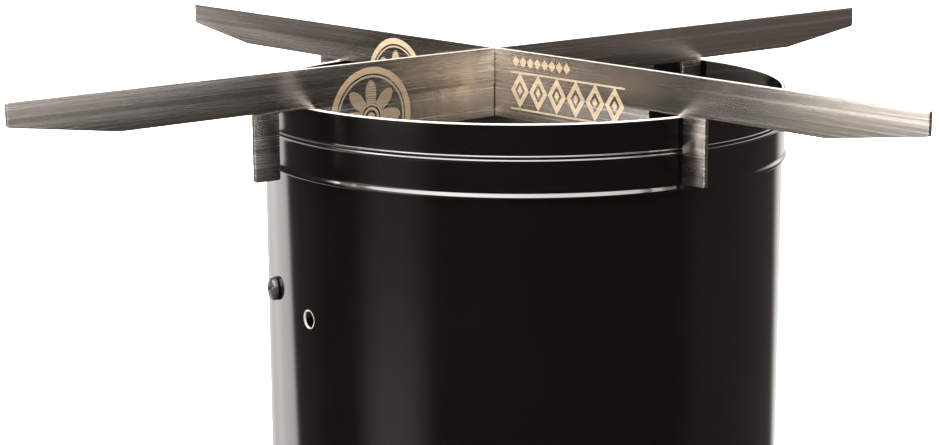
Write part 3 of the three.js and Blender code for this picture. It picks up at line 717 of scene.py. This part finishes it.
# ----------------------------------------------------------------------- burner
B0, BR, BTOP = BZ + BT + 0.3, 52, 265
ALONG = Matrix(((1, 0, 0, 0), (0, 0, 1, 0), (0, -1, 0, TUBE_Z), (0, 0, 0, 1)))       # local z -> +Y at the tube's height
bowl = make("burner_bowl", lathe([(0, B0), (20, B0), (21.5, B0 + 0.5), (23, B0 + 1.6), (44, B0 + 2.6), (48, B0 + 4), (50.8, B0 + 7), (52, B0 + 11),
                                  (52, B0 + 23), (51.4, B0 + 24), (51.4, BTOP - 2), (52, BTOP - 1.2), (51.5, BTOP), (0, BTOP)], 128))
tube = moved(lathe([(0, 30), (16, 30), (16, 46), (14.6, 50), (13.2, 56), (13, 60), (13, 126), (13.6, 130), (15.2, 134), (16.7, 138), (17, 140), (17, 149.3), (16.4, 150), (0, 150)], 96), ALONG)
tube_solid = make("tube", tube)
m = bowl.modifiers.new("u", "BOOLEAN")
m.object, m.operation, m.solver = tube_solid, "UNION", "EXACT"
settle(bowl)
bpy.data.objects.remove(tube_solid)
boolean(bowl, lathe([(8.5, B0 + 6), (43, B0 + 6), (46, B0 + 7.5), (47, B0 + 10), (47, BTOP + 5), (8.5, BTOP + 5)], 128))
boolean(bowl, moved(lathe([(0, 38), (10, 38), (10, 130), (14.5, 138), (14.5, 147), (0, 147)], 72), ALONG))


def kidney(r0, r1, a0, a1, n=14):
    c, hw = (r0 + r1) / 2, (r1 - r0) / 2
    e = math.degrees(hw / c) * 0.9
    pts = [(r1 * math.cos(math.radians(a)), r1 * math.sin(math.radians(a))) for a in np.linspace(a0 + e * .5, a1 - e * .5, n)]
    pts += [(r0 * math.cos(math.radians(a)), r0 * math.sin(math.radians(a))) for a in np.linspace(a1 - e * .5, a0 + e * .5, n)]
    return rounded([(x, y, 0.4 if i in (0, n - 1, n, 2 * n - 1) else 0) for i, (x, y) in enumerate(pts)], 4)


ports = [moved(prism(kidney(7.6, 14, a + 60, a + 120), 144, 156), ALONG) for a in (0, 120, 240)]
boolean(bowl, joined(*ports, moved(rod(4.3, 144, 156, 40), ALONG)))
boolean(bowl, rod(3.4, 230, 272, 40))
bevel(bowl, 0.5, 2, 50)
smooth(bowl, 34)
dress(bowl, "cast_iron", "stand", "burner_body")

C0 = BTOP + 0.3
CT = C0 + 6
cap = make("burner_lid", lathe([(0, C0), (53.2, C0), (54, C0 + 0.8), (54, C0 + 2.4), (53.4, C0 + 3.0), (49.4, C0 + 4.7), (48.4, C0 + 5.0), (33.2, C0 + 5.0), (32.6, C0 + 4.4), (31.4, C0 + 4.4), (30.8, C0 + 5.0),
                                (14.4, C0 + 5.0), (13.2, C0 + 5.2), (12.4, C0 + 5.8), (11.8, CT), (0, CT)], 128))
drill = []
for i in range(20):
    a = 2 * math.pi * i / 20
    drill.append(moved(rod(1.5, C0 - 4, CT + 4, 16), Matrix.Translation((40 * math.cos(a), 40 * math.sin(a), 0))))
for i in range(12):
    a = 2 * math.pi * (i + 0.5) / 12
    drill.append(moved(rod(1.5, C0 - 4, CT + 4, 16), Matrix.Translation((25 * math.cos(a), 25 * math.sin(a), 0))))
boolean(cap, joined(*drill, rod(3.4, C0 - 4, CT + 4, 40)))
smooth(cap, 34)
dress(cap, "cast_iron", "stand", "burner_cap")

pan_head("bolt_burner", "burner_bolt", Matrix.Translation((0, 0, (CT + 0.3) * MM)), 2.9, CT + 0.3 - 222, 6, 4, 3.2, "zinc_steel")
wash = make("washer_burner", lathe([(3.3, 0.15), (3.45, 0), (8.85, 0), (9, 0.15), (9, 1.25), (8.85, 1.4), (3.45, 1.4), (3.3, 1.25)], 64),
            Matrix.Translation((0, 0, (BZ - 0.3 - 1.4) * MM)))
smooth(wash, 30)
dress(wash, "zinc_steel", "stand", "burner_washer")
nut("nut_burner", "burner_nut", Matrix.Translation((0, 0, (BZ - 0.6 - 1.4 - 5) * MM)))

# ----------------------------------------------- shutter, jet, valve and inlet
GAS = Matrix.Translation((0, 0, TUBE_Z * MM)) @ R4(-math.pi / 2, 4, "X")


def gas(z):
    return GAS @ Matrix.Translation((0, 0, z * MM))


disc = make("shutter_disc", lathe([(0, 0), (16.9, 0), (17, 0.12), (17, 1.08), (16.9, 1.2), (0, 1.2)], 96))
tab_side = rounded([(-22.5, 0, 1.4), (-22.5, 7, 0.3), (-21.3, 7, 0.3), (-21.3, 1.2, 0.3), (-15, 1.2, 0), (-15, 0, 0)], 5)
tv, tf = prism(tab_side, -3.5, 3.5)
boolean(disc, ([(z, x, y) for x, y, z in tv], tf), "UNION")
boolean(disc, joined(*[prism(kidney(7.6, 14, a + 240, a + 300), -3, 5) for a in (0, 120, 240)], rod(4.4, -3, 5, 40)))
disc.matrix_world = gas(150.3)
bevel(disc, 0.1, 2, 50)
smooth(disc, 30)
dress(disc, "zinc_steel", "shutter", "air_shutter")

z_spring = 150 + 0.3 + 1.2 + 0.9
verts, faces, turns, per, ring_n = [], [], 3, 32, 12
count = turns * per
for i in range(count + 1):
    t = i / count
    a = 2 * math.pi * turns * t
    rad, up = Vector((math.cos(a), math.sin(a), 0)), Vector((0, 0, 1))
    c = rad * 5.6 + up * (4.6 * t)
    for k in range(ring_n):
        b = 2 * math.pi * k / ring_n
        verts.append(tuple(c + rad * (0.5 * math.cos(b)) + up * (0.5 * math.sin(b))))
for i in range(count):
    for k in range(ring_n):
        faces.append([i * ring_n + k, i * ring_n + (k + 1) % ring_n, (i + 1) * ring_n + (k + 1) % ring_n, (i + 1) * ring_n + k])
faces.append(list(range(ring_n))[::-1])
faces.append([count * ring_n + k for k in range(ring_n)])
spring = make("spring_coil", (verts, faces), gas(z_spring))
smooth(spring, 50)
dress(spring, "zinc_steel", "stand", "shutter_spring")

o0 = z_spring + 4.6 + 0.9
jet = hex_body(14, 0, 168.3 - 0.3 - o0, 0.7)
jet.name = "jet"
boolean(jet, lathe([(0, -18.4), (1.6, -18.4), (1.9, -18.1), (3.9, -15.6), (4.0, -15.2), (4.0, 0.5), (0, 0.5)], 64), "UNION")
boolean(jet, joined(rod(2.5, -12, 20, 40), rod(0.7, -25, -11, 20)))
jet.matrix_world = gas(o0)
bevel(jet, 0.12, 2, 40)
smooth(jet, 32)
dress(jet, "brass", "stand", "gas_orifice")

V0, V1, SY = 168.3, 200, 184
body = hex_body(18, V0, V0 + 8, 0.8)
body.name = "valve_block"
boolean(body, lathe([(0, V0 + 7.5), (8.7, V0 + 7.5), (9, V0 + 8.2), (9, V1 - 1), (8.2, V1), (0, V1)], 96), "UNION")
boss = lathe([(0, -10.5), (5.9, -10.5), (6.5, -9.9), (6.6, -9.5), (6.6, 0), (7, 0.4), (7, 15.5), (6.7, 15.9), (6.7, 16.5), (7, 16.9), (7, 19.4), (6.4, 20), (0, 20)], 80)
ACR = Matrix.Translation((0, 0, SY)) @ ACROSS
boolean(body, moved(boss, ACR), "UNION")
boolean(body, rod(3.2, V0 - 5, V1 + 5, 40))
boolean(body, moved(rod(2.9, 0, 25, 40), ACR))
boolean(body, moved(rod(5, 14.5, 25, 48), ACR))
body.matrix_world = GAS
bevel(body, 0.2, 2, 45)
smooth(body, 32)
dress(body, "brass", "stand", "valve_body")


def across(x):
    return GAS @ Matrix.Translation((x * MM, 0, SY * MM)) @ R4(math.pi / 2, 4, "Y")


pack = make("packing", lathe([(2.6, 0.2), (2.8, 0), (4.4, 0), (4.7, 0.4), (4.7, 4.1), (4.4, 4.5), (2.8, 4.5), (2.6, 4.3)], 56), across(14.9))
smooth(pack, 40)
dress(pack, "fibre", "stand", "stem_packing")
pn = hex_body(14, 0, 6.5, 0.8)
pn.name = "gland_nut"
boolean(pn, rod(2.9, -1, 8, 40))
pn.matrix_world = across(20.3)
bevel(pn, 0.15, 2, 40)
smooth(pn, 32)
dress(pn, "brass", "stand", "packing_nut")

stem = make("spindle", lathe([(0, -3), (0.5, -3), (0.8, -2.8), (2.1, 1.2), (2.2, 1.6), (2.2, 37.5), (1.9, 38), (0, 38)], 48), across(0))
boolean(stem, rod(1.5, 31, 40, 24))
smooth(stem, 32)
dress(stem, "brass", "valve_spindle", "valve_stem")

outline = []
for i in range(240):
    a = 2 * math.pi * i / 240
    outline.append(((13 - 1.1 * max(0, math.cos(10 * a)) ** 2) * math.cos(a), (13 - 1.1 * max(0, math.cos(10 * a)) ** 2) * math.sin(a)))
knob = make("knob", prism(outline, 0, 15.4))
env = [(0, 0), (10.9, 0), (11.6, 0.2), (12.6, 1.0), (13.1, 2.2), (13.1, 12.2), (12.7, 13.4), (11.9, 14.4), (10.8, 15.0), (9.0, 15.3), (8.4, 15.0), (7.8, 14.8), (5.6, 14.8), (5.2, 15.2), (4.8, 15.4), (0, 15.4)]
boolean(knob, lathe(env, 120), "INTERSECT")
boolean(knob, joined(rod(2.5, -1, 10.3, 40)))
boolean(knob, lathe([(0, 5), (1.7, 5), (1.7, 13.2), (3.6, 13.2), (3.6, 20), (0, 20)], 48))
knob.matrix_world = across(28)
bevel(knob, 0.3, 2, 40)
smooth(knob, 34)
dress(knob, "dark_plastic", "valve_spindle", "valve_knob")
pan_head("screw_knob", "knob_screw", across(28 + 13.5), 1.2, 8, 2.9, 1.9, 1.5, "zinc_steel", "valve_spindle")

seal = make("seal", lathe([(3.6, 0.1), (3.7, 0), (7.9, 0), (8, 0.15), (8, 1.25), (7.9, 1.4), (3.7, 1.4), (3.6, 1.3)], 64), gas(V1 + 0.3))
smooth(seal, 40)
dress(seal, "fibre", "stand", "inlet_seal")
i0, END_Y = V1 + 2.0, 228
inlet = hex_body(19, i0, i0 + 8, 0.8)
inlet.name = "hose_stub"
prof = [(0, i0 + 7.5), (8.2, i0 + 7.5), (8.2, i0 + 9.4)]
z = i0 + 9.6
while z < END_Y - 2.2:
    prof += [(7.8, z), (8.45, z + 0.45), (8.55, z + 0.6), (8.45, z + 0.75)]
    z += 1.35
prof += [(7.8, z), (7.8, END_Y - 0.8), (7.1, END_Y), (0, END_Y)]
boolean(inlet, lathe(prof, 96), "UNION")
boolean(inlet, lathe([(0, i0 - 3), (3.4, i0 - 3), (3.4, END_Y - 0.5), (3.9, END_Y + 0.01), (3.9, END_Y + 3), (0, END_Y + 3)], 48))
inlet.matrix_world = GAS
smooth(inlet, 28)
dress(inlet, "brass", "stand", "hose_inlet")

# ------------------------------------------------------------- floor and lights
def plain(name, colour, rough):
    m = Nodes(name)
    n = m.noise(3, 3, 0.5)
    return m.set(color=m.mix(n, tuple(c * 0.985 for c in colour), colour), rough=rough, spec=0.1)


pale = plain("pale_floor", (0.90, 0.90, 0.90), 0.9)


def annulus(name, r0, r1, n=96):
    verts = [(r * math.cos(2 * math.pi * k / n), r * math.sin(2 * math.pi * k / n), -0.0004) for r in (r0, r1) for k in range(n)]
    if r0 == 0:
        verts = [(r1 * math.cos(2 * math.pi * k / n), r1 * math.sin(2 * math.pi * k / n), -0.0004) for k in range(n)]
        faces = [list(range(n))]
    else:
        faces = [[k, n + k, n + (k + 1) % n, (k + 1) % n] for k in range(n)]
    me = bpy.data.meshes.new(name)
    me.from_pydata(verts, [], faces)
    ob = bpy.data.objects.new(name, me)
    bpy.context.scene.collection.objects.link(ob)
    me.materials.append(pale)
    return ob


near = annulus("floor_near", 0, 0.42)
far = annulus("floor_far", 0.42, 14)
far.visible_glossy = False
near.visible_glossy = False


world = bpy.data.worlds.new("studio")
bpy.context.scene.world = world
world.use_nodes = True


class Sky(Nodes):
    """The studio round the stand, painted by direction: azimuth and elevation in degrees."""

    def __init__(self):
        self.t = world.node_tree
        self.t.nodes.clear()
        self.co = self.t.nodes.new("ShaderNodeTexCoord").outputs["Generated"]
        x, y, z = self.xyz()[0:3]
        self.x, self.y = x, y
        self.el = self.math("MULTIPLY", self.math("ARCSINE", z), 180 / math.pi)
        self.total = None

    def azimuth(self, centre):
        a = math.radians(centre)
        u = self.math("ADD", self.math("MULTIPLY", self.x, math.cos(a)), self.math("MULTIPLY", self.y, math.sin(a)))
        v = self.math("SUBTRACT", self.math("MULTIPLY", self.y, math.cos(a)), self.math("MULTIPLY", self.x, math.sin(a)))
        return self.math("MULTIPLY", self.math("ARCTAN2", v, u), 180 / math.pi)

    def curve(self, v, points):
        """Piecewise soft curve through (position, value) points."""
        out = points[0][1]
        for (a, va), (b, vb) in zip(points, points[1:]):
            add = self.math("MULTIPLY", self.step(v, a, b), vb - va)
            out = self.math("ADD", out, add)
        return out

    def patch(self, centre, azimuths, elevations, colour=(1, 1, 1), slant=0.0):
        az = self.azimuth(centre)
        if slant:
            az = self.math("ADD", az, self.math("MULTIPLY", self.math("ADD", self.el, 13.0), slant))
        k = self.math("MULTIPLY", self.curve(az, [(a - centre, v) for a, v in azimuths]), self.curve(self.el, elevations))
        c = self.mix(k, (0, 0, 0), colour)
        n = self.t.nodes.new("ShaderNodeVectorMath")
        n.operation = "SCALE"
        n.inputs[0].default_value = colour
        self.put(n.inputs["Scale"], k)
        if self.total is None:
            self.total = n.outputs[0]
        else:
            add = self.t.nodes.new("ShaderNodeVectorMath")
            add.operation = "ADD"
            self.put(add.inputs[0], self.total)
            self.put(add.inputs[1], n.outputs[0])
            self.total = add.outputs[0]


sky = Sky()
# dim warm room
sky.patch(262, [(166, 0.11), (178, 0.04), (262, 0.05), (300, 0.02), (342, 0.02), (358, 0.14)], [(-90, 1), (90, 1)], (1.0, 0.84, 0.77))
sky.patch(213, [(192, 0), (211, 0.8), (220, 0.8), (238, 0)], [(-60, 1), (-16.5, 1.0), (-12, 0.3), (-8, 0.5)], (1.0, 0.86, 0.86))
# white backdrop behind
sky.patch(110, [(58, 0), (70, 1.3), (100, 1.0), (118, 1.15), (132, 2.1), (147, 2.6), (150, 0)], [(-60, 0), (-40, 1), (0, 1), (6, 2.6), (40, 2.6), (60, 0)], (1.0, 0.975, 0.94), 0.75)
# wide soft box overhead, from above the stand to well in front of it
sky.patch(262, [(173, 0), (177, 1.6), (180, 3.4), (183, 3.0), (187, 1.3), (192, 1.2), (240, 1.7), (300, 1.3), (338, 0.95), (345, 0.62), (352, 0)], [(25, 0), (33, 13), (80, 13), (88, 8)], (1.0, 0.965, 0.925))
# weaker light in the front left, low down
sky.patch(222, [(186, 0), (200, 1), (222, 1), (236, 0)], [(-2, 0), (6, 3.0), (14, 3.0), (22, 0)], (1.0, 0.97, 0.93))
path = sky.t.nodes.new("ShaderNodeLightPath")
shade = sky.t.nodes.new("ShaderNodeBackground")
sky.put(shade.inputs[0], sky.total)
seen = sky.t.nodes.new("ShaderNodeBackground")
seen.inputs[0].default_value = (1, 1, 1, 1)
mixer = sky.t.nodes.new("ShaderNodeMixShader")
sky.t.links.new(path.outputs["Is Camera Ray"], mixer.inputs[0])
sky.t.links.new(shade.outputs[0], mixer.inputs[1])
sky.t.links.new(seen.outputs[0], mixer.inputs[2])
wo = sky.t.nodes.new("ShaderNodeOutputWorld")
sky.t.links.new(mixer.outputs[0], wo.inputs[0])

scene = bpy.context.scene
scene.view_settings.view_transform = "Standard"
scene.view_settings.look = "None"
scene.view_settings.exposure = 0
scene.view_settings.gamma = 1

# ----------------------------------------------------------------------- camera
# the picture's viewpoint, found from the plates' and ring's outlines; the numbers are in the cross's own frame
F_PX, D, H, X, PITCH, ROLL, PSI = 2178.327, 0.96394975, 0.12336311, -0.01146534, 11.88419, -0.28571, 50.0283
turn = Matrix.Rotation(math.radians(PSI - 45), 4, "Z")
eye = turn @ Vector((X, -D, H)) + CROSS
p, r = math.radians(PITCH), math.radians(ROLL)
fwd = Vector((0, math.cos(p), -math.sin(p)))
right = Vector((1, 0, 0))
up = right.cross(fwd)
right2 = right * math.cos(r) + up * math.sin(r)
up2 = up * math.cos(r) - right * math.sin(r)
basis = Matrix((right2, up2, -fwd)).transposed().to_4x4()
cam = bpy.data.cameras.new("camera")
cam.sensor_width = 36
cam.sensor_fit = "HORIZONTAL"
cam.lens = F_PX * 36 / 940
cam.clip_start, cam.clip_end = 0.01, 60
cam_ob = bpy.data.objects.new("camera", cam)
scene.collection.objects.link(cam_ob)
cam_ob.matrix_world = Matrix.Translation(eye) @ turn @ basis
scene.camera = cam_ob
